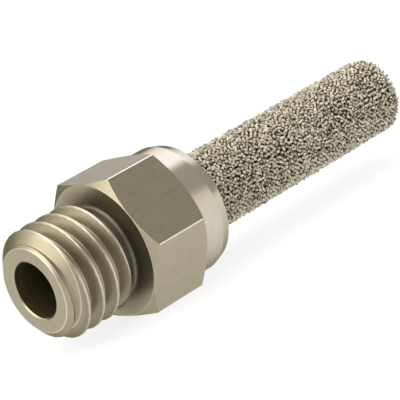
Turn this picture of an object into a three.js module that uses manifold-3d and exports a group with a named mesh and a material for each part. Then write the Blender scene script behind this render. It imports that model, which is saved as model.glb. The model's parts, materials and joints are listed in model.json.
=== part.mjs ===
// A threaded pneumatic muffler: a turned and plated brass body that screws into an exhaust port,
// and a sintered bronze cup pressed into its rear. Air comes in through the body's bore and
// leaves through the pores of the cup's wall and end.
//
// Millimetres. The axis of the muffler is +X, pointing away from the port, and x = 0 is the seat,
// the hexagon's front face that closes on the port. One pair of wrench flats faces +Z and -Z.
import * as THREE from 'three';
import { mergeVertices } from 'three/addons/utils/BufferGeometryUtils.js';
import Module from 'manifold-3d';

const wasm = await Module();
wasm.setup();

// Thread: M5 x 0.8, right hand, with a chamfered nose and an undercut behind it.
const threadDiameter = 5.0;
const threadPitch = 0.8;
const threadLength = 3.85; // nose face to seat
const threadDepth = 0.49;
const threadRootFlat = 0.15;
const threadFlankAngle = 30; // degrees from square to the axis
const threadStartAngle = 65.5; // degrees from +Y towards +Z, where the groove meets the nose face
const noseChamferHeight = 0.61; // crest to the rim of the nose face
const noseChamferAngle = 50; // degrees from the axis
const undercutBelowRoot = 0.06;
const undercutLength = 0.8; // last crest to seat
const undercutFillet = 0.2;

// Hexagon: 6 mm across flats, its corners chamfered at both ends.
const acrossFlats = 6.0;
const hexLength = 3.15;
const hexChamferInset = 0.025; // the end faces' circle stands this far inside the flats
const hexChamferAngle = 30; // degrees from square to the axis

// Collar behind the hexagon, its rim tapered where it is closed onto the cup.
const collarDiameter = 5.85;
const collarLength = 1.55;
const rimTaperLength = 0.5;
const rimTaperDrop = 0.15;

// Bore, and the counterbore that holds the cup.
const boreDiameter = 2.5;
const boreMouthChamfer = 0.06;
const socketDepth = 2.0;

// Sintered cup.
const cupDiameter = 3.6;
const cupExposedLength = 12.7; // collar rim to closed end
const cupBoreDiameter = 2.0;
const cupEndThickness = 1.0;
const cupEndChamfer = 0.2;

// Clearances between the two pieces.
const pressClearance = 0.02;
const socketFloorGap = 0.02;

// Facets.
const roundSegments = 60;
const cupSegments = 48;
const filletSteps = 4;

// Positions along the axis that follow from the sizes.
const noseX = -threadLength;
const hexRearX = hexLength;
const rimX = hexRearX + collarLength;
const socketFloorX = rimX - socketDepth;
const cupEndX = rimX + cupExposedLength;

// Radii that follow from the sizes.
const threadRadius = threadDiameter / 2;
const rootRadius = threadRadius - threadDepth;
const neckRadius = rootRadius - undercutBelowRoot;
const noseRadius = threadRadius - noseChamferHeight;
const boreRadius = boreDiameter / 2;
const hexCornerRadius = acrossFlats / Math.sqrt(3);

const radians = THREE.MathUtils.degToRad;

// A solid for joining and cutting, from a closed three.js geometry.
function toSolid(geometry) {
  const bare = geometry.clone();
  bare.deleteAttribute('normal');
  bare.deleteAttribute('uv');
  const merged = mergeVertices(bare, 1e-5);
  return new wasm.Manifold(new wasm.Mesh({
    numProp: 3,
    vertProperties: new Float32Array(merged.attributes.position.array),
    triVerts: new Uint32Array(merged.index.array),
  }));
}

function toGeometry(solid) {
  const mesh = solid.getMesh();
  const geometry = new THREE.BufferGeometry();
  geometry.setAttribute('position', new THREE.BufferAttribute(mesh.vertProperties, 3));
  geometry.setIndex(new THREE.BufferAttribute(mesh.triVerts, 1));
  geometry.computeVertexNormals();
  return geometry;
}

// A turned solid about the X axis. The outline lists [x, radius] pairs and closes on itself.
function turned(outline, segments) {
  const points = outline.map(([x, radius]) => new THREE.Vector2(radius, x));
  points.push(points[0].clone());
  const geometry = new THREE.LatheGeometry(points, segments);
  geometry.rotateZ(-Math.PI / 2);
  return geometry;
}

// The hollow fillet where the undercut runs into the seat, from the neck out to the seat.
function undercutFilletPoints() {
  const points = [];
  for (let i = 0; i <= filletSteps; i += 1) {
    const angle = (Math.PI / 2) * (i / filletSteps);
    const x = -undercutFillet + undercutFillet * Math.sin(angle);
    const radius = neckRadius + undercutFillet * (1 - Math.cos(angle));
    points.push([x, radius]);
  }
  return points;
}

// The body as it comes off the lathe, before the flats and the thread are cut.
function turnedBlank() {
  const collarRadius = collarDiameter / 2;
  const socketRadius = cupDiameter / 2 + pressClearance;
  const faceRadius = acrossFlats / 2 - hexChamferInset;
  const seatMiddleRadius = (neckRadius + undercutFillet + faceRadius) / 2;
  const barRadius = hexCornerRadius + 0.1; // just outside the hexagon's corners
  const hexChamferLength = (barRadius - faceRadius) * Math.tan(radians(hexChamferAngle));
  const noseChamferLength = (threadRadius - noseRadius) / Math.tan(radians(noseChamferAngle));
  const undercutFlank = (threadRadius - neckRadius) * Math.tan(radians(threadFlankAngle));
  return turned([
    [noseX, boreRadius + boreMouthChamfer],
    [noseX, noseRadius],
    [noseX + noseChamferLength, threadRadius],
    [-undercutLength, threadRadius],
    [-undercutLength + undercutFlank, neckRadius],
    ...undercutFilletPoints(),
    [0, seatMiddleRadius],
    [0, faceRadius],
    [hexChamferLength, barRadius],
    [hexRearX - hexChamferLength, barRadius],
    [hexRearX, faceRadius],
    [hexRearX, collarRadius],
    [rimX - rimTaperLength, collarRadius],
    [rimX, collarRadius - rimTaperDrop],
    [rimX, socketRadius],
    [socketFloorX, socketRadius],
    [socketFloorX, boreRadius],
    [noseX + boreMouthChamfer, boreRadius],
  ], roundSegments);
}

// What the mill takes off between the flats: a ring with a hexagonal hole, over the hexagon only.
function flatsCutter() {
  const ring = new THREE.Shape();
  ring.absarc(0, 0, acrossFlats, 0, Math.PI * 2, false);
  const hole = new THREE.Path();
  for (let corner = 0; corner < 6; corner += 1) {
    const angle = corner * (Math.PI / 3);
    const x = hexCornerRadius * Math.cos(angle);
    const y = hexCornerRadius * Math.sin(angle);
    if (corner === 0) hole.moveTo(x, y);
    else hole.lineTo(x, y);
  }
  hole.closePath();
  ring.holes.push(hole);
  const geometry = new THREE.ExtrudeGeometry(ring, { depth: hexLength, bevelEnabled: false });
  // The section's x becomes +Y, its y becomes +Z, and its depth becomes +X.
  geometry.rotateX(Math.PI / 2);
  geometry.rotateZ(Math.PI / 2);
  return geometry;
}

// The helix that the thread's root follows, with frames that keep the tool square to the axis.
class RootHelix extends THREE.Curve {
  constructor(radius, startX, startAngle, turns) {
    super();
    this.radius = radius;
    this.startX = startX;
    this.startAngle = startAngle;
    this.turns = turns;
    this.arcLengthDivisions = Math.ceil(turns * roundSegments);
  }

  angleAt(t) {
    return this.startAngle + t * this.turns * Math.PI * 2;
  }

  getPoint(t, target = new THREE.Vector3()) {
    const angle = this.angleAt(t);
    return target.set(
      this.startX + t * this.turns * threadPitch,
      this.radius * Math.cos(angle),
      this.radius * Math.sin(angle),
    );
  }

  computeFrenetFrames(segments) {
    const frames = { tangents: [], normals: [], binormals: [] };
    for (let i = 0; i <= segments; i += 1) {
      const angle = this.angleAt(i / segments);
      frames.tangents.push(new THREE.Vector3(0, -Math.sin(angle), Math.cos(angle)));
      frames.normals.push(new THREE.Vector3(0, Math.cos(angle), Math.sin(angle)));
      frames.binormals.push(new THREE.Vector3(-1, 0, 0));
    }
    return frames;
  }
}

// The groove of the thread, swept from clear of the nose into the undercut.
function threadCutter() {
  const slope = Math.tan(radians(threadFlankAngle));
  const crestFlat = threadPitch - threadRootFlat - 2 * threadDepth * slope;
  const cutterHeight = threadDepth + crestFlat / (4 * slope);
  const rootHalf = threadRootFlat / 2;
  const topHalf = rootHalf + cutterHeight * slope;
  const section = new THREE.Shape([
    new THREE.Vector2(0, -rootHalf),
    new THREE.Vector2(cutterHeight, -topHalf),
    new THREE.Vector2(cutterHeight, topHalf),
    new THREE.Vector2(0, rootHalf),
  ]);
  const startX = noseX - threadPitch;
  const undercutMiddleX = -(undercutLength + undercutFillet) / 2;
  const turns = (undercutMiddleX - startX) / threadPitch;
  const helix = new RootHelix(rootRadius, startX, radians(threadStartAngle), turns);
  return new THREE.ExtrudeGeometry(section, {
    steps: Math.round(turns * roundSegments),
    extrudePath: helix,
    bevelEnabled: false,
  });
}

function threadedBody() {
  const blank = toSolid(turnedBlank());
  const milled = blank.subtract(toSolid(flatsCutter()));
  return toGeometry(milled.subtract(toSolid(threadCutter())));
}

// The porous cup: open towards the body's bore, closed at its far end.
function sinteredCup() {
  const radius = cupDiameter / 2;
  const insideRadius = cupBoreDiameter / 2;
  const openX = socketFloorX + socketFloorGap;
  return turned([
    [openX, insideRadius],
    [openX, radius],
    [cupEndX - cupEndChamfer, radius],
    [cupEndX, radius - cupEndChamfer],
    [cupEndX, 0],
    [cupEndX - cupEndThickness, 0],
    [cupEndX - cupEndThickness, insideRadius],
  ], cupSegments);
}

function piece(name, geometry, finish) {
  const mesh = new THREE.Mesh(geometry, new THREE.MeshStandardMaterial(finish));
  mesh.name = name;
  return mesh;
}

const muffler = new THREE.Group();
muffler.add(piece('threaded_body', threadedBody(), {
  color: 0x9f967f, // nickel plate over brass
  roughness: 0.32,
  metalness: 1.0,
}));
muffler.add(piece('sintered_element', sinteredCup(), {
  color: 0xa69e8b, // sintered bronze, nickel washed
  roughness: 0.75,
  metalness: 0.7,
}));

export default muffler;
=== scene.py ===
import json
import math

import bmesh
import bpy
from mathutils import Matrix, Vector

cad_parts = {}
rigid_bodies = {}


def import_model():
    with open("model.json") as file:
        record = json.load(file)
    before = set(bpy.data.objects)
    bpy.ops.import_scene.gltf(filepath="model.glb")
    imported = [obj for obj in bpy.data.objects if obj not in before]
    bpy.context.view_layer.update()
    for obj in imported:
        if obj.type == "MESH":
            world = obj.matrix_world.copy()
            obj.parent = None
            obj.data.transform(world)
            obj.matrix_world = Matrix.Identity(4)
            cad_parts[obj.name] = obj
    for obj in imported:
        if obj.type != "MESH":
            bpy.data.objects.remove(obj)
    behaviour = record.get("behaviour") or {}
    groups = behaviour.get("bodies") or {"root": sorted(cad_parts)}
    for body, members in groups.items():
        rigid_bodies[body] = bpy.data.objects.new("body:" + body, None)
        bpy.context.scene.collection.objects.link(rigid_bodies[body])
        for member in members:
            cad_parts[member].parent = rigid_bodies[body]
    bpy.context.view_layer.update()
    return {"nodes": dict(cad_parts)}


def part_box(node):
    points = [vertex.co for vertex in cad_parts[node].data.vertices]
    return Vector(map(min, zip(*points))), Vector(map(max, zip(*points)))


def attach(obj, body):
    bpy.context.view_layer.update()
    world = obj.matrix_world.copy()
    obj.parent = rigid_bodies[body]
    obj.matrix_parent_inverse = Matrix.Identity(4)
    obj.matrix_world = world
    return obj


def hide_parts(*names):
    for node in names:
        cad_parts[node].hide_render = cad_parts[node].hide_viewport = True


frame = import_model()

mm = 0.001  # the dictionaries below are in millimetres

# Places on the real parts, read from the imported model, in mm. The axis is X and x = 0 is the seat.
bodyLow, bodyHigh = [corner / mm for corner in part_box("threaded_body")]
cupLow, cupHigh = [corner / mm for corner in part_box("sintered_element")]
noseX = bodyLow.x
rimX = bodyHigh.x
cupEndX = cupHigh.x
cupRadius = cupHigh.z
flatDistance = bodyHigh.z  # axis to a wrench flat
print("frame:", len(frame["nodes"]), "nodes, from x =", round(noseX, 2), "to", round(cupEndX, 2), "mm")


def hexColour(text):
    # an sRGB hex value as the linear colour that a shader wants
    channels = [int(text[i:i + 2], 16) / 255 for i in (1, 3, 5)]
    linear = [c / 12.92 if c <= 0.04045 else ((c + 0.055) / 1.055) ** 2.4 for c in channels]
    return (*linear, 1.0)


def addNode(tree, kind, settings=None, inputs=None, stops=None):
    # one node: its settings, what each input gets (a socket or a fixed value), and a ramp's stops
    node = tree.nodes.new(kind)
    for name, value in (settings or {}).items():
        setattr(node, name, value)
    for name, value in (inputs or {}).items():
        if isinstance(value, bpy.types.NodeSocket):
            tree.links.new(value, node.inputs[name])
        else:
            node.inputs[name].default_value = value
    for index, (position, colour) in enumerate(stops or []):
        ramp = node.color_ramp.elements
        stop = ramp[index] if index < len(ramp) else ramp.new(position)
        stop.position = position
        stop.color = hexColour(colour)
    return node


def newMaterial(name):
    material = bpy.data.materials.new(name)
    material.use_nodes = True
    material.node_tree.nodes.clear()
    return material, material.node_tree


def finishMaterial(tree, surface):
    shader = addNode(tree, "ShaderNodeBsdfPrincipled", inputs=surface)
    addNode(tree, "ShaderNodeOutputMaterial", inputs={"Surface": shader.outputs["BSDF"]})


def surfacePattern(tree, perMillimetre, detail=3.0, stretch=(1, 1, 1)):
    # a soft random pattern in the piece's own coordinates, perMillimetre cells to the mm
    coordinates = addNode(tree, "ShaderNodeTexCoord")
    placed = addNode(tree, "ShaderNodeMapping", inputs={
        "Vector": coordinates.outputs["Object"], "Scale": tuple(s * perMillimetre / mm for s in stretch)})
    noise = addNode(tree, "ShaderNodeTexNoise", inputs={
        "Vector": placed.outputs["Vector"], "Scale": 1.0, "Detail": detail})
    return noise.outputs["Fac"]


nickelLook = {
    # plate tone by wear and painted light: 0 is a root darkened as painted shade, 0.5 the plain plate, 1 an
    # edge rubbed bright and lightened as a painted highlight
    "tones": [(0.0, "#46423a"), (0.25, "#7c7668"), (0.5, "#a59d86"), (0.75, "#bfb7a6"), (1.0, "#dcd5ca")],
    "roughness": (0.56, 0.12),  # at the dark, painted-shade end and at the bright end
    "mottle": 0.035, "mottlePerMm": 1.2,  # how far the tone wanders, and in how many patches to the mm
    "markDepth": 0.01,  # mm
    # How far the tool's marks move the tone and the roughness, how strong they are in relief, and the tint
    # of what the plate mirrors at a glancing angle. Both patterns are coarser than real so that they show.
    "turned": {"lineGap": 0.09, "toneSpread": 0.04, "roughnessSpread": 0.04, "bump": 0.10,
               "grazing": "#a8a194"},
    "drawn": {"streaksPerMm": 12, "toneSpread": 0.08, "roughnessSpread": 0.08, "bump": 0.12,
              "grazing": "#ffffff"},
}


def platedNickel(tree, marks, finish):
    # tone and gloss follow the wear and painted light stored on the mesh, painted shade in the roots and
    # painted highlights on the edges, with the tool's marks laid over them
    look = nickelLook
    wearAndPaintedLight = addNode(tree, "ShaderNodeAttribute", {"attribute_name": "wearAndPaintedLight"}).outputs["Fac"]
    wander = addNode(tree, "ShaderNodeMapRange", inputs={
        "Value": surfacePattern(tree, look["mottlePerMm"]), "To Min": -look["mottle"],
        "To Max": look["mottle"]})
    streaks = addNode(tree, "ShaderNodeMapRange", inputs={
        "Value": marks, "To Min": -finish["toneSpread"], "To Max": finish["toneSpread"]})
    mottled = addNode(tree, "ShaderNodeMath", {"operation": "ADD"}, {0: wearAndPaintedLight, 1: wander.outputs["Result"]})
    marked = addNode(tree, "ShaderNodeMath", {"operation": "ADD"},
                     {0: mottled.outputs[0], 1: streaks.outputs["Result"]})
    tone = addNode(tree, "ShaderNodeValToRGB", inputs={"Fac": marked.outputs[0]}, stops=look["tones"])
    gloss = addNode(tree, "ShaderNodeMapRange", inputs={
        "Value": wearAndPaintedLight, "To Min": look["roughness"][0], "To Max": look["roughness"][1]})
    spread = addNode(tree, "ShaderNodeMapRange", inputs={
        "Value": marks, "To Min": -finish["roughnessSpread"], "To Max": finish["roughnessSpread"]})
    roughness = addNode(tree, "ShaderNodeMath", {"operation": "ADD"},
                        {0: gloss.outputs["Result"], 1: spread.outputs["Result"]})
    relief = addNode(tree, "ShaderNodeBump", inputs={
        "Height": marks, "Strength": finish["bump"], "Distance": look["markDepth"] * mm})
    finishMaterial(tree, {
        "Base Color": tone.outputs["Color"], "Metallic": 1.0, "Roughness": roughness.outputs[0],
        "Specular Tint": hexColour(finish["grazing"]), "Normal": relief.outputs["Normal"]})


def turnedNickel():
    # Bright nickel plate over turned brass: warm silver, crisp reflections with faint turning lines.
    material, tree = newMaterial("turnedNickelPlate")
    finish = nickelLook["turned"]
    lines = surfacePattern(tree, 1 / finish["lineGap"], detail=2.0, stretch=(1, 0.02, 0.02))
    platedNickel(tree, lines, finish)
    return material


def drawnNickel():
    # The same plate over the drawn flats of the hexagon: duller, with faint streaks along the bar.
    material, tree = newMaterial("drawnNickelPlate")
    finish = nickelLook["drawn"]
    streaks = surfacePattern(tree, finish["streaksPerMm"], stretch=(0.08, 1, 1))
    platedNickel(tree, streaks, finish)
    return material


boreLook = {
    "ringsPerMm": 8,  # boring rings, coarser than real so that they show
    "tones": [(0.3, "#6e6849"), (0.7, "#7d7757")],
    "roughness": (0.45, 0.6),
}


def boredBrass():
    # The drilled bore, where plating hardly reaches: dull dark brass with boring rings.
    material, tree = newMaterial("boredBrass")
    rings = surfacePattern(tree, boreLook["ringsPerMm"], stretch=(1, 0.05, 0.05))
    tone = addNode(tree, "ShaderNodeValToRGB", inputs={"Fac": rings}, stops=boreLook["tones"])
    roughness = addNode(tree, "ShaderNodeMapRange", inputs={
        "Value": rings, "To Min": boreLook["roughness"][0], "To Max": boreLook["roughness"][1]})
    finishMaterial(tree, {"Base Color": tone.outputs["Color"], "Metallic": 1.0,
                          "Roughness": roughness.outputs["Result"]})
    return material


sinterLook = {
    # tone of a grain, from dark to light: random for each grain, with the bed below taking the darker part
    # as painted shade
    "grainTones": [(0.0, "#57503b"), (0.3, "#857e69"), (0.5, "#b2aa97"), (1.0, "#e2dac9")],
    "grainMetal": 0.4, "grainRoughness": (0.42, 0.62),
    "pitsPerMm": 22, "pitDepth": 0.02, "pitBump": 0.25,  # pits on a grain, their depth in mm
    # the sheet below the grains: painted shade, dark so that the gaps between grains look dark
    "poreShadeTones": [(0.35, "#2e2919"), (0.65, "#4e4632")],
    "depthMetal": 0.6, "depthRoughness": 0.7,
    "clumpsPerMm": 5, "clumpDepth": 0.05, "clumpBump": 0.8,  # clumps of the powder below
}


def sinteredGrain():
    # Atomised bronze powder, nickel washed and sintered: pale satin grains, each of its own tone.
    look = sinterLook
    material, tree = newMaterial("sinteredBronzeGrain")
    grain = addNode(tree, "ShaderNodeAttribute", {"attribute_name": "grainTone"}).outputs["Fac"]
    tone = addNode(tree, "ShaderNodeValToRGB", inputs={"Fac": grain}, stops=look["grainTones"])
    pits = surfacePattern(tree, look["pitsPerMm"], detail=2.0)
    roughness = addNode(tree, "ShaderNodeMapRange", inputs={
        "Value": pits, "To Min": look["grainRoughness"][0], "To Max": look["grainRoughness"][1]})
    relief = addNode(tree, "ShaderNodeBump", inputs={
        "Height": pits, "Strength": look["pitBump"], "Distance": look["pitDepth"] * mm})
    finishMaterial(tree, {
        "Base Color": tone.outputs["Color"], "Metallic": look["grainMetal"],
        "Roughness": roughness.outputs["Result"], "Normal": relief.outputs["Normal"]})
    return material


def sinteredPoreShade():
    # Painted shade: a dark, dull and clumped sheet standing for the powder below the surface grains, which
    # light hardly reaches.
    look = sinterLook
    material, tree = newMaterial("sinteredPoreShadeSheet")
    clumps = surfacePattern(tree, look["clumpsPerMm"])
    tone = addNode(tree, "ShaderNodeValToRGB", inputs={"Fac": clumps}, stops=look["poreShadeTones"])
    relief = addNode(tree, "ShaderNodeBump", inputs={
        "Height": clumps, "Strength": look["clumpBump"], "Distance": look["clumpDepth"] * mm})
    finishMaterial(tree, {
        "Base Color": tone.outputs["Color"], "Metallic": look["depthMetal"],
        "Roughness": look["depthRoughness"], "Normal": relief.outputs["Normal"]})
    return material


def meshObject(name, vertices, faces):
    mesh = bpy.data.meshes.new(name)
    mesh.from_pydata(vertices, [], faces)
    mesh.polygons.foreach_set("use_smooth", [True] * len(mesh.polygons))
    piece = bpy.data.objects.new(name, mesh)
    bpy.context.scene.collection.objects.link(piece)
    return piece


def ringVertex(x, radius, angle):
    return (x * mm, radius * math.cos(angle) * mm, radius * math.sin(angle) * mm)


def closedGrid(name, columns):
    # columns of points round the axis, each a closed loop, skinned into one closed body that faces out
    height = len(columns[0])
    width = len(columns)
    vertices = [point for column in columns for point in column]
    faces = []
    for j in range(width):
        here = j * height
        across = (j + 1) % width * height
        for i in range(height):
            up = (i + 1) % height
            faces.append((here + i, across + i, across + up, here + up))
    return meshObject(name, vertices, faces)


def evenSteps(count):
    return [step / count for step in range(1, count)]


def supportedSteps(count, length):
    # even divisions with one more close to each end, 0.03 mm from it or less, which keeps a flat run
    # flat up to its edge
    support = min(0.03 / length, 0.3 / count) if length > 0 else 0.3 / count
    return [support] + evenSteps(count) + [1 - support]


def roundedOutline(corners, arcSteps=4, longRun=20, mostOfRun=0.4):
    # Corners are (x, radius, rounding, wear and painted light, steps in the run that leaves it, wear and
    # painted light along that run). The result is the closed outline with every corner rounded, as (x,
    # radius, wear and painted light), with as many points for any sizes. A run of more than longRun steps
    # needs no support at its ends, and a rounding takes no more than mostOfRun of the runs on its two
    # sides.
    count = len(corners)
    places = [Vector(corner[:2]) for corner in corners]
    starts, ends = [], []
    for i, here in enumerate(places):
        toPrevious = places[i - 1] - here
        toNext = places[(i + 1) % count] - here
        turn = math.pi - toPrevious.angle(toNext, math.pi)
        room = mostOfRun * min(toPrevious.length, toNext.length)
        reach = min(corners[i][2] * math.tan(turn / 2), room)
        starts.append(here + toPrevious.normalized() * reach)
        ends.append(here + toNext.normalized() * reach)
    outline = []
    for i, here in enumerate(places):
        _, _, _, cornerWearAndPaintedLight, steps, runWearAndPaintedLight = corners[i]
        for step in range(arcSteps + 1):
            t = step / arcSteps
            point = starts[i] * (1 - t) ** 2 + here * (2 * t * (1 - t)) + ends[i] * t ** 2
            outline.append((*point, cornerWearAndPaintedLight))
        run = starts[(i + 1) % count] - ends[i]
        shares = evenSteps(steps) if steps > longRun else supportedSteps(steps, run.length)
        for share in shares:
            wearAndPaintedLight = runWearAndPaintedLight[0] + (runWearAndPaintedLight[1] - runWearAndPaintedLight[0]) * share
            outline.append((*(ends[i] + run * share), wearAndPaintedLight))
    return outline


def applyTree(piece, tree, values):
    # runs a Geometry Nodes tree on a piece and gives the result back as a plain mesh object
    modifier = piece.modifiers.new(tree.name, "NODES")
    modifier.node_group = tree
    for item in tree.interface.items_tree:
        if item.in_out == "INPUT" and item.name in values:
            modifier[item.identifier] = values[item.name]
    graph = bpy.context.evaluated_depsgraph_get()
    mesh = bpy.data.meshes.new_from_object(piece.evaluated_get(graph), depsgraph=graph)
    piece.modifiers.remove(modifier)
    piece.data = mesh
    return piece


bodySizes = {
    "threadRadius": 2.5, "threadDepth": 0.49, "pitch": 0.8, "rootFlat": 0.15, "flankAngle": 30,
    "grooveStartAngle": 65.5, "noseChamferHeight": 0.61, "noseChamferAngle": 50,
    "neckRadius": 1.95, "undercutLength": 0.8, "undercutFillet": 0.2,
    "hexLength": 3.15, "hexChamferInset": 0.025, "hexChamferAngle": 30, "cornerRounding": 0.09,
    "collarRadius": 2.925, "rimTaperLength": 0.5, "rimTaperDrop": 0.15,
    "boreRadius": 1.25, "boreMouthChamfer": 0.06, "socketRadius": 1.82, "socketDepth": 2.0,
    "edgeRounding": 0.03, "edgeSoftness": 0.015,  # outline corners, and the thread's own edges
    "threadRowHeight": 0.024, "columnsPerHalfFlat": 19,
    "cornerShares": (0, 0.25, 0.5, 0.75, 1.0, 1.25), "firstFlatShare": 1.5,  # columns near a corner
}
# how bright each surface of the body is toned, from 0 to 1, partly rubbed wear and partly painted light:
# the neck, the seat and other recesses are darkened as painted shade, edges are lightened as painted
# highlights, and the plain zones differ in brightness partly as lit and shaded copies of the one plate
bodyWearAndPaintedLight = {
    "noseFace": 0.58, "noseChamfer": 0.50, "flank": 0.40, "neck": 0.22, "seat": 0.32, "seatRim": 0.50,
    "chamfer": 0.50, "flat": 0.54, "edge": 1.0, "nose": 0.92, "rearEdge": 0.7, "collar": 0.82,
}
# the same inside the thread, partly wear and partly painted light: the groove's floor at the nose (darkened
# as painted shade) and behind it, its flanks (darkened as painted shade), its crest (rubbed bright and
# lightened as a painted highlight), and the share of the groove's height from where to where the crest
# brightens
threadWearAndPaintedLight = {
    "mouth": 0.10, "root": 0.52, "flank": 0.34, "crest": 0.80, "crestFrom": 0.86, "crestTo": 0.98,
    "startShare": 0.84,  # of the nose chamfer's height, behind the nose, from where the thread's wear and painted light start
}


def cornerReach():
    # how far the rounding of a hexagon corner reaches to each side of it, as an angle round the axis
    straight = (flatDistance - bodySizes["cornerRounding"]) * math.tan(math.radians(30))
    return math.radians(30) - math.atan2(straight, flatDistance)


def hexagonRadius(fromCorner):
    # axis to the hexagon's skin at an angle from its nearest corner, the corner being rounded
    rounding = bodySizes["cornerRounding"]
    arcCentre = (flatDistance - rounding) / math.cos(math.radians(30))
    if fromCorner >= cornerReach():
        return flatDistance / math.cos(math.radians(30) - fromCorner)
    across = arcCentre * math.sin(fromCorner)
    return arcCentre * math.cos(fromCorner) + math.sqrt(rounding ** 2 - across ** 2)


def columnAngles():
    # columns round the body, close together at the hexagon's corners, as (angle, angle from the corner)
    reach = math.degrees(cornerReach())
    count = bodySizes["columnsPerHalfFlat"]
    first = bodySizes["firstFlatShare"] * reach
    offsets = [reach * share for share in bodySizes["cornerShares"]]
    offsets += [first + (30 - first) / count * step for step in range(count + 1)]
    angles = []
    for corner in range(6):
        for offset in [-o for o in reversed(offsets[1:-1])] + offsets:
            angles.append((math.radians(corner * 60 + offset), math.radians(abs(offset))))
    return angles


def bodyOutline(fromCorner):
    size = bodySizes
    slope = math.tan(math.radians(size["hexChamferAngle"]))
    face = flatDistance - size["hexChamferInset"]
    skin = hexagonRadius(fromCorner)
    chamfer = (skin - face) * slope
    thread, neck, collar = size["threadRadius"], size["neckRadius"], size["collarRadius"]
    bore, socket = size["boreRadius"], size["socketRadius"]
    nose = thread - size["noseChamferHeight"]
    noseChamfer = size["noseChamferHeight"] / math.tan(math.radians(size["noseChamferAngle"]))
    flank = (thread - neck) * math.tan(math.radians(size["flankAngle"]))
    undercut = -size["undercutLength"]
    hexEnd = size["hexLength"]
    floor = rimX - size["socketDepth"]
    edge = size["edgeRounding"]
    rows = round((undercut - noseX - noseChamfer) / size["threadRowHeight"])
    flat = "edge" if fromCorner < 0.9 * cornerReach() else "flat"  # a hexagon corner is rubbed bright and lightened as a painted highlight
    # x, radius, rounding, the corner's wear and painted light, steps in the run after it, the wear and
    # painted light along that run
    table = [
        (noseX, bore + size["boreMouthChamfer"], 0.02, "noseFace", 6, "noseFace"),
        (noseX, nose, 0.04, "nose", 30, "noseChamfer"),
        (noseX + noseChamfer, thread, 0.03, "nose", rows, "flank"),
        (undercut, thread, edge, "neck", 24, "neck"),
        (undercut + flank, neck, 0.06, "neck", 3, "neck"),
        (0, neck, size["undercutFillet"], "neck", 8, "neck", "seatRim"),
        (0, face, 0.04, "rearEdge", 5, "chamfer"),
        (chamfer, skin, edge, "flat", 8, flat),
        (hexEnd - chamfer, skin, edge, "rearEdge", 5, "chamfer"),
        (hexEnd, face, edge, "seat", 1, "seat"),
        (hexEnd, collar, 0.005, "seat", 6, "collar"),
        (rimX - size["rimTaperLength"], collar, 0.25, "collar", 3, "collar"),
        (rimX, collar - size["rimTaperDrop"], 0.07, "edge", 4, "collar"),
        (rimX, socket, 0.02, "neck", 3, "neck"),
        (floor, socket, 0.02, "neck", 2, "neck"),
        (floor, bore, 0.02, "neck", 12, "neck"),
        (noseX + size["boreMouthChamfer"], bore, 0.02, "noseFace", 1, "noseFace"),
    ]
    corners = []
    for x, radius, rounding, corner, steps, *run in table:
        runWearAndPaintedLight = (bodyWearAndPaintedLight[run[0]], bodyWearAndPaintedLight[run[-1]])
        corners.append((x, radius, rounding, bodyWearAndPaintedLight[corner], steps, runWearAndPaintedLight))
    return roundedOutline(corners)


def turnedBody():
    # one closed mesh, with the wear and painted light of every point stored on it
    columns, wearAndPaintedLight = [], []
    for angle, fromCorner in columnAngles():
        outline = bodyOutline(fromCorner)
        columns.append([ringVertex(x, radius, angle) for x, radius, _ in outline])
        wearAndPaintedLight.extend(point[2] for point in outline)
    body = closedGrid("threaded_body_shell", columns)
    body.data.attributes.new("wearAndPaintedLight", "FLOAT", "POINT").data.foreach_set("value", wearAndPaintedLight)
    return body


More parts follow.
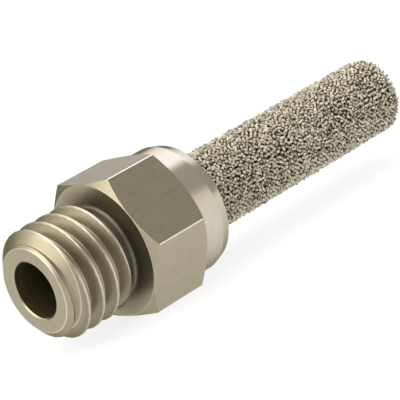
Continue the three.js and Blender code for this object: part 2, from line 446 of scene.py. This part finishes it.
def threadTree():
    # Cuts a right-hand thread into the round surface it is given, by pulling points in to the groove,
    # and stores its tone by the height above its root: flanks darkened as painted shade, crests rubbed
    # bright and lightened as painted highlights.
    tree = bpy.data.node_groups.new("cutThread", "GeometryNodeTree")
    tree.interface.new_socket("Geometry", in_out="INPUT", socket_type="NodeSocketGeometry")
    names = ["Pitch", "Root Radius", "Half Root Flat", "Rise Per Width", "Start Angle", "Nose X", "End X",
             "Softness", "Depth", "Tone Start X", "Tone End X", "Mouth Shade", "Root Wear", "Flank Shade",
             "Crest Highlight And Wear", "Crest From", "Crest To"]
    for name in names:
        tree.interface.new_socket(name, in_out="INPUT", socket_type="NodeSocketFloat")
    tree.interface.new_socket("Material", in_out="INPUT", socket_type="NodeSocketMaterial")
    tree.interface.new_socket("Geometry", in_out="OUTPUT", socket_type="NodeSocketGeometry")
    given = addNode(tree, "NodeGroupInput").outputs
    place = addNode(tree, "GeometryNodeInputPosition")
    split = addNode(tree, "ShaderNodeSeparateXYZ", inputs={"Vector": place.outputs[0]}).outputs
    found = {name: given[name] for name in names}
    found.update({axis: split[axis] for axis in "XYZ"})
    # the rule of the thread, one step to a line: its name, what is done, and to what
    steps = [
        ("ySquared", "MULTIPLY", "Y", "Y"),
        ("zSquared", "MULTIPLY", "Z", "Z"),
        ("radiusSquared", "ADD", "ySquared", "zSquared"),
        ("radius", "SQRT", "radiusSquared"),
        ("bearing", "ARCTAN2", "Z", "Y"),
        ("angle", "SUBTRACT", "bearing", "Start Angle"),
        ("turns", "DIVIDE", "angle", math.tau),
        ("fromNose", "SUBTRACT", "X", "Nose X"),
        ("pitches", "DIVIDE", "fromNose", "Pitch"),
        ("unwound", "SUBTRACT", "pitches", "turns"),
        ("phase", "WRAP", "unwound", 0.5, -0.5),
        ("phaseSize", "ABSOLUTE", "phase"),
        ("offCentre", "MULTIPLY", "phaseSize", "Pitch"),
        ("offFlat", "SUBTRACT", "offCentre", "Half Root Flat"),
        ("upFlank", "SMOOTH_MAX", "offFlat", 0.0, "Softness"),
        ("rise", "MULTIPLY", "upFlank", "Rise Per Width"),
        ("groove", "ADD", "Root Radius", "rise"),
        ("cutRadius", "SMOOTH_MIN", "radius", "groove", "Softness"),
        ("cut", "DIVIDE", "cutRadius", "radius"),
        ("cutY", "MULTIPLY", "Y", "cut"),
        ("cutZ", "MULTIPLY", "Z", "cut"),
        ("beforeEnd", "LESS_THAN", "X", "End X"),
        ("boreLimit", "MULTIPLY", "Root Radius", 0.9),  # nothing inside this is thread
        ("outside", "GREATER_THAN", "radius", "boreLimit"),
        ("onThread", "MULTIPLY", "beforeEnd", "outside"),
        ("newRadius", "MULTIPLY", "radius", "cut"),
        ("aboveRoot", "SUBTRACT", "newRadius", "Root Radius"),
        ("height", "DIVIDE", "aboveRoot", "Depth"),
        ("isCut", "LESS_THAN", "cut", 0.995),  # a point that moved at all
        ("behindNose", "GREATER_THAN", "X", "Tone Start X"),
        ("cutOrBehind", "MAXIMUM", "isCut", "behindNose"),
        ("paintedLightThread", "MULTIPLY", "onThread", "cutOrBehind"),
        ("beforeNeck", "LESS_THAN", "X", "Tone End X"),
        ("paintedLightZone", "MULTIPLY", "paintedLightThread", "beforeNeck"),
    ]
    for name, operation, *parts in steps:
        inputs = {index: found.get(part, part) for index, part in enumerate(parts)}
        found[name] = addNode(tree, "ShaderNodeMath", {"operation": operation}, inputs).outputs[0]
    moved = addNode(tree, "ShaderNodeCombineXYZ", inputs={
        "X": split["X"], "Y": found["cutY"], "Z": found["cutZ"]})
    shaped = addNode(tree, "GeometryNodeSetPosition", inputs={
        "Geometry": given["Geometry"], "Selection": found["onThread"], "Position": moved.outputs[0]})
    # painted shade: the groove's floor darkens towards the nose and the flanks below the crest; the crest
    # is lightened as a painted highlight and rubbed wear
    grooveFloorShade = addNode(tree, "ShaderNodeMapRange", inputs={
        "Value": split["X"], "From Min": given["Nose X"], "From Max": given["Tone Start X"],
        "To Min": given["Mouth Shade"], "To Max": given["Root Wear"]})
    flankShade = addNode(tree, "ShaderNodeMapRange", inputs={
        "Value": found["height"], "To Min": grooveFloorShade.outputs["Result"], "To Max": given["Flank Shade"]})
    crestHighlightAndWear = addNode(tree, "ShaderNodeMapRange", {"interpolation_type": "SMOOTHSTEP"}, {
        "Value": found["height"], "From Min": given["Crest From"], "From Max": given["Crest To"],
        "To Max": given["Crest Highlight And Wear"]})
    threadShadeAndHighlight = addNode(tree, "ShaderNodeMath", {"operation": "MAXIMUM"},
                     {0: flankShade.outputs["Result"], 1: crestHighlightAndWear.outputs["Result"]})
    storedThreadShade = addNode(tree, "GeometryNodeStoreNamedAttribute", {"data_type": "FLOAT", "domain": "POINT"}, {
        "Name": "wearAndPaintedLight", "Geometry": shaped.outputs[0], "Selection": found["paintedLightZone"],
        "Value": threadShadeAndHighlight.outputs[0]})
    real = addNode(tree, "GeometryNodeRealizeInstances", inputs={"Geometry": storedThreadShade.outputs[0]})
    plated = addNode(tree, "GeometryNodeSetMaterial", inputs={
        "Geometry": real.outputs[0], "Material": given["Material"]})
    addNode(tree, "NodeGroupOutput", inputs={"Geometry": plated.outputs[0]})
    return tree


def cutThread(body):
    size, wearAndPaintedLight = bodySizes, threadWearAndPaintedLight
    return applyTree(body, threadTree(), {
        "Pitch": size["pitch"] * mm,
        "Root Radius": (size["threadRadius"] - size["threadDepth"]) * mm,
        "Half Root Flat": size["rootFlat"] / 2 * mm,
        "Rise Per Width": 1 / math.tan(math.radians(size["flankAngle"])),
        "Start Angle": math.radians(size["grooveStartAngle"]),
        "Nose X": noseX * mm,
        "End X": -(size["undercutFillet"] + 0.05) * mm,  # just short of the fillet
        "Softness": size["edgeSoftness"] * mm,
        "Depth": size["threadDepth"] * mm,
        "Tone Start X": (noseX + size["noseChamferHeight"] * wearAndPaintedLight["startShare"]) * mm,
        "Tone End X": -size["undercutLength"] * mm,
        "Mouth Shade": wearAndPaintedLight["mouth"], "Root Wear": wearAndPaintedLight["root"], "Flank Shade": wearAndPaintedLight["flank"],
        "Crest Highlight And Wear": wearAndPaintedLight["crest"], "Crest From": wearAndPaintedLight["crestFrom"], "Crest To": wearAndPaintedLight["crestTo"],
        "Material": turnedNickel(),
    })


def paintBody(body):
    # The tree leaves the whole body turned. The flats are drawn and the bore is bored, told apart by
    # where each face lies.
    body.data.materials.append(drawnNickel())
    body.data.materials.append(boredBrass())
    boreLimit = (bodySizes["boreRadius"] + 0.01) * mm  # just outside the bore
    turnedLimit = (flatDistance - bodySizes["hexChamferInset"]) * mm
    squareToAxis = 0.99  # how much of a flat's normal points straight out from the axis, at least
    for face in body.data.polygons:
        radius = math.hypot(face.center.y, face.center.z)
        acrossFace = math.hypot(face.normal.y, face.normal.z)
        if radius < boreLimit:
            face.material_index = 2
        elif radius > turnedLimit and acrossFace > squareToAxis:
            face.material_index = 1


def makeBody():
    body = cutThread(turnedBody())
    paintBody(body)
    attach(body, "root")
    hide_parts("threaded_body")
    print("body: turned, threaded and plated,", len(body.data.polygons), "faces")


cupSizes = {
    "coreInset": 0.30, "boreRadius": 1.0, "endThickness": 1.0, "endRounding": 0.06,
    "tipRadius": 0.02,  # the core's end is closed by a ring this small
    "skinSeat": 0.35,  # how far the grains run into the socket
    "coreSegments": 64, "bedSegments": 96,
}
grainSizes = {
    "radius": 0.070, "spacing": 0.138, "jitter": 0.035, "seed": 7,
    "smallest": (0.75, 0.75, 1.1), "largest": (1.15, 1.15, 2.1),  # stretch of a grain
    "skinTones": (0.36, 1.0), "bedTones": (0.15, 0.45),  # along the material's ramp, dark to light; the bed's range is darker, painted shade for the layer below
    "skinInset": 0.09, "bedInset": 0.19,  # below the cup's surface, by layer
    "endInset": 0.04,  # further in at the cup's end
}


def lathePiece(name, outline, segments):
    columns = []
    for step in range(segments):
        angle = math.tau * step / segments
        columns.append([ringVertex(x, radius, angle) for x, radius in outline])
    return closedGrid(name, columns)


def openSkin(name, outline, segments):
    # a turned skin whose outline starts at a free edge and ends on the axis
    vertices = []
    for x, radius in outline[:-1]:
        vertices.extend(ringVertex(x, radius, math.tau * step / segments) for step in range(segments))
    tip = len(vertices)
    vertices.append(ringVertex(*outline[-1], 0))
    faces = []
    last = (len(outline) - 2) * segments
    for row in range(0, last, segments):
        for j in range(segments):
            k = (j + 1) % segments
            faces.append((row + j, row + k, row + segments + k, row + segments + j))
    for j in range(segments):
        faces.append((last + j, last + (j + 1) % segments, tip))
    return meshObject(name, vertices, faces)


def dropCap(bed):
    # takes away the triangles that close a skin, where the next skin carries on
    shape = bmesh.new()
    shape.from_mesh(bed.data)
    bmesh.ops.delete(shape, geom=[face for face in shape.faces if len(face.verts) == 3], context="FACES")
    shape.to_mesh(bed.data)
    shape.free()


def roundedEndPoints(radius, endX, rounding, steps=5):
    points = []
    for step in range(steps + 1):
        angle = math.radians(90 * step / steps)
        x = endX - rounding + rounding * math.sin(angle)
        points.append((x, radius - rounding + rounding * math.cos(angle)))
    return points


def makeCore():
    size = cupSizes
    radius = cupRadius - size["coreInset"]
    endX = cupEndX - size["coreInset"]
    innerX = endX - size["endThickness"]
    outline = [(cupLow.x, size["boreRadius"]), (cupLow.x, radius)]
    outline += roundedEndPoints(radius, endX, size["endRounding"])
    outline += [(endX, size["tipRadius"]), (innerX, size["tipRadius"]), (innerX, size["boreRadius"])]
    # the core is toned dark as painted shade, seen in the gaps between the grains
    core = lathePiece("sintered_element_core", outline, size["coreSegments"])
    core.data.materials.append(sinteredPoreShade())
    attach(core, "root")
    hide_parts("sintered_element")
    print("core: the cup's dark inner wall,", len(core.data.polygons), "faces")


def grainTree():
    # Scatters grains over a bed at an even spacing, each turned, stretched, lifted and toned at random.
    tree = bpy.data.node_groups.new("sinterGrains", "GeometryNodeTree")
    tree.interface.new_socket("Geometry", in_out="INPUT", socket_type="NodeSocketGeometry")
    for name in ("Spacing", "Grain Radius", "Jitter", "Darkest", "Lightest"):
        tree.interface.new_socket(name, in_out="INPUT", socket_type="NodeSocketFloat")
    tree.interface.new_socket("Seed", in_out="INPUT", socket_type="NodeSocketInt")
    for name in ("Smallest", "Largest"):
        tree.interface.new_socket(name, in_out="INPUT", socket_type="NodeSocketVector")
    tree.interface.new_socket("Material", in_out="INPUT", socket_type="NodeSocketMaterial")
    tree.interface.new_socket("Geometry", in_out="OUTPUT", socket_type="NodeSocketGeometry")
    given = addNode(tree, "NodeGroupInput").outputs
    # the spacing alone limits how many grains there are, so the density is out of its way
    scatter = addNode(tree, "GeometryNodeDistributePointsOnFaces", {"distribute_method": "POISSON"}, {
        "Mesh": given["Geometry"], "Distance Min": given["Spacing"], "Density Max": 1e9,
        "Seed": given["Seed"]})
    lift = addNode(tree, "FunctionNodeRandomValue", {"data_type": "FLOAT"},
                   {"Min": -1.0, "Max": 1.0, "Seed": 1})
    liftBy = addNode(tree, "ShaderNodeMath", {"operation": "MULTIPLY"},
                     {0: lift.outputs[1], 1: given["Jitter"]})
    offset = addNode(tree, "ShaderNodeVectorMath", {"operation": "SCALE"},
                     {0: scatter.outputs["Normal"], "Scale": liftBy.outputs[0]})
    lifted = addNode(tree, "GeometryNodeSetPosition", inputs={
        "Geometry": scatter.outputs["Points"], "Offset": offset.outputs[0]})
    grain = addNode(tree, "GeometryNodeMeshUVSphere", inputs={
        "Segments": 6, "Rings": 4, "Radius": given["Grain Radius"]})
    stretch = addNode(tree, "FunctionNodeRandomValue", {"data_type": "FLOAT_VECTOR"},
                      {0: given["Smallest"], 1: given["Largest"], "Seed": 2})
    turn = addNode(tree, "FunctionNodeRandomValue", {"data_type": "FLOAT_VECTOR"},
                   {1: (math.tau, math.tau, math.tau), "Seed": 3})
    placed = addNode(tree, "GeometryNodeInstanceOnPoints", inputs={
        "Points": lifted.outputs[0], "Instance": grain.outputs["Mesh"], "Rotation": turn.outputs[0],
        "Scale": stretch.outputs[0]})
    tone = addNode(tree, "FunctionNodeRandomValue", {"data_type": "FLOAT"},
                   {2: given["Darkest"], 3: given["Lightest"], "Seed": 4})
    toned = addNode(tree, "GeometryNodeStoreNamedAttribute", {"data_type": "FLOAT", "domain": "INSTANCE"},
                    {"Name": "grainTone", "Geometry": placed.outputs[0], "Value": tone.outputs[1]})
    real = addNode(tree, "GeometryNodeRealizeInstances", inputs={"Geometry": toned.outputs[0]})
    smooth = addNode(tree, "GeometryNodeSetShadeSmooth", inputs={"Geometry": real.outputs[0]})
    painted = addNode(tree, "GeometryNodeSetMaterial", inputs={
        "Geometry": smooth.outputs[0], "Material": given["Material"]})
    addNode(tree, "NodeGroupOutput", inputs={"Geometry": painted.outputs[0]})
    return tree


def makeGrains():
    # a skin of pale grains over a bed of darker ones, darkened as painted shade, each in two halves along
    # the cup
    size = grainSizes
    tree = grainTree()
    material = sinteredGrain()
    startX = rimX - cupSizes["skinSeat"]
    seed = size["seed"]
    for layer in ("skin", "bed"):
        radius = cupRadius - size[layer + "Inset"]
        endX = cupEndX - size[layer + "Inset"] + size["skinInset"] - size["endInset"]
        middleX = (startX + endX) / 2
        end = roundedEndPoints(radius, endX, cupSizes["endRounding"])
        halves = [("near", [(startX, radius), (middleX, radius), (middleX, 0)]),
                  ("far", [(middleX, radius)] + end + [(endX, 0)])]
        for half, outline in halves:
            seed += 1
            bed = openSkin(f"sintered_{layer}_{half}", outline, cupSizes["bedSegments"])
            if half == "near":
                dropCap(bed)
            grains = applyTree(bed, tree, {
                "Spacing": size["spacing"] * mm, "Grain Radius": size["radius"] * mm,
                "Jitter": size["jitter"] * mm, "Seed": seed,
                "Smallest": size["smallest"], "Largest": size["largest"], "Material": material,
                "Darkest": size[layer + "Tones"][0], "Lightest": size[layer + "Tones"][1],
            })
            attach(grains, "root")
            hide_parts("sintered_element")
            print("grains:", grains.name, len(grains.data.polygons), "faces")


studioLook = {
    "floorSize": 2.0,  # metres
    "floorGap": 0.01,  # mm below the lowest flat
    "floorGlow": 0.82, "floorTone": "#7d7d7b", "floorRoughness": 0.9,
    "roomTone": "#a5a49e", "roomStrength": 1.3,
    "keyToward": (-0.35, -0.20, 0.91), "keyDistance": 0.6, "keySize": 0.9, "keyPower": 2.8,  # metres, watts
}
# soft panels of light round the part: where each stands, its half angle, its soft edge, how bright
softPanels = [
    {"toward": (0.60, 0.36, 0.72), "half": 22, "edge": 12, "glow": 1.60, "tone": "#eeeeff"},
    {"toward": (-0.84, 0.10, 0.51), "half": 22, "edge": 12, "glow": 1.8, "tone": "#fffaf2"},
    {"toward": (-0.42, 0.65, 0.64), "half": 10, "edge": 12, "glow": 0.7, "tone": "#fffaf2"},
    {"toward": (0.60, -0.80, 0.0), "half": 3, "edge": 20, "glow": 0.6, "tone": "#fff6ee"},
]
cameraPlace = {
    "aim": (5.74, 0.0, -0.22), "distance": 85.0,  # mm
    "heading": 38.2, "down": 12.55, "roll": -20.7,  # degrees
    "lens": 177.0, "sensor": 36.0,  # mm
    "nearest": 0.005, "farthest": 10.0,  # metres
}


def makeFloor():
    # a plain pale sheet that glows a little, so that the part's shadow on it stays faint
    half = studioLook["floorSize"] / 2
    z = (bodyLow.z - studioLook["floorGap"]) * mm
    corners = [(-half, -half, z), (half, -half, z), (half, half, z), (-half, half, z)]
    floor = meshObject("floor", corners, [(0, 1, 2, 3)])
    material, tree = newMaterial("paleStudioFloor")
    finishMaterial(tree, {
        "Base Color": hexColour(studioLook["floorTone"]), "Roughness": studioLook["floorRoughness"],
        "Specular IOR Level": 0.0, "Emission Color": (1, 1, 1, 1),
        "Emission Strength": studioLook["floorGlow"]})
    floor.data.materials.append(material)
    print("floor: pale sheet,", studioLook["floorSize"], "m wide")


def makeRoom():
    # one world: a grey room with soft panels, each a round patch of sky about its own direction
    world = bpy.data.worlds.new("studio")
    world.use_nodes = True
    tree = world.node_tree
    tree.nodes.clear()
    sky = addNode(tree, "ShaderNodeTexCoord").outputs["Generated"]
    light = addNode(tree, "ShaderNodeVectorMath", {"operation": "SCALE"}, {
        0: hexColour(studioLook["roomTone"])[:3], "Scale": studioLook["roomStrength"]}).outputs[0]
    for panel in softPanels:
        nearness = addNode(tree, "ShaderNodeVectorMath", {"operation": "DOT_PRODUCT"},
                           {0: sky, 1: Vector(panel["toward"]).normalized()})
        patch = addNode(tree, "ShaderNodeMapRange", {"interpolation_type": "SMOOTHSTEP"}, {
            "Value": nearness.outputs["Value"], "To Max": panel["glow"],
            "From Min": math.cos(math.radians(panel["half"] + panel["edge"])),
            "From Max": math.cos(math.radians(panel["half"]))})
        glow = addNode(tree, "ShaderNodeVectorMath", {"operation": "SCALE"},
                       {0: hexColour(panel["tone"])[:3], "Scale": patch.outputs["Result"]})
        light = addNode(tree, "ShaderNodeVectorMath", {"operation": "ADD"},
                        {0: light, 1: glow.outputs[0]}).outputs[0]
    background = addNode(tree, "ShaderNodeBackground", inputs={"Color": light})
    addNode(tree, "ShaderNodeOutputWorld", inputs={"Surface": background.outputs[0]})
    bpy.context.scene.world = world
    print("room:", len(softPanels), "soft panels")


def makeKeyLight():
    key = bpy.data.objects.new("overheadSoftbox", bpy.data.lights.new("overheadSoftbox", "AREA"))
    key.data.size = studioLook["keySize"]
    key.data.energy = studioLook["keyPower"]
    toward = Vector(studioLook["keyToward"]).normalized()
    key.matrix_world = (Matrix.Translation(toward * studioLook["keyDistance"])
                        @ toward.to_track_quat("Z", "Y").to_matrix().to_4x4())
    bpy.context.scene.collection.objects.link(key)
    print("key light: overhead,", studioLook["keyPower"], "W")


def makeCamera():
    place = cameraPlace
    heading = math.radians(place["heading"])
    down = math.radians(place["down"])
    level = math.cos(down)
    forward = Vector((math.sin(heading) * level, math.cos(heading) * level, -math.sin(down)))
    camera = bpy.data.objects.new("camera", bpy.data.cameras.new("camera"))
    camera.data.lens = place["lens"]
    camera.data.sensor_width = place["sensor"]
    camera.data.clip_start = place["nearest"]
    camera.data.clip_end = place["farthest"]
    turned = (-forward).to_track_quat("Z", "Y").to_matrix().to_4x4()
    rolled = turned @ Matrix.Rotation(math.radians(place["roll"]), 4, "Z")
    stand = Vector(place["aim"]) * mm - forward * place["distance"] * mm
    camera.matrix_world = Matrix.Translation(stand) @ rolled
    bpy.context.scene.collection.objects.link(camera)
    bpy.context.scene.camera = camera
    bpy.context.scene.view_settings.view_transform = "Standard"
    print("camera:", place["distance"], "mm away, heading", place["heading"], "degrees")


makeCamera()
makeFloor()
makeRoom()
makeKeyLight()
makeBody()
makeCore()
makeGrains()
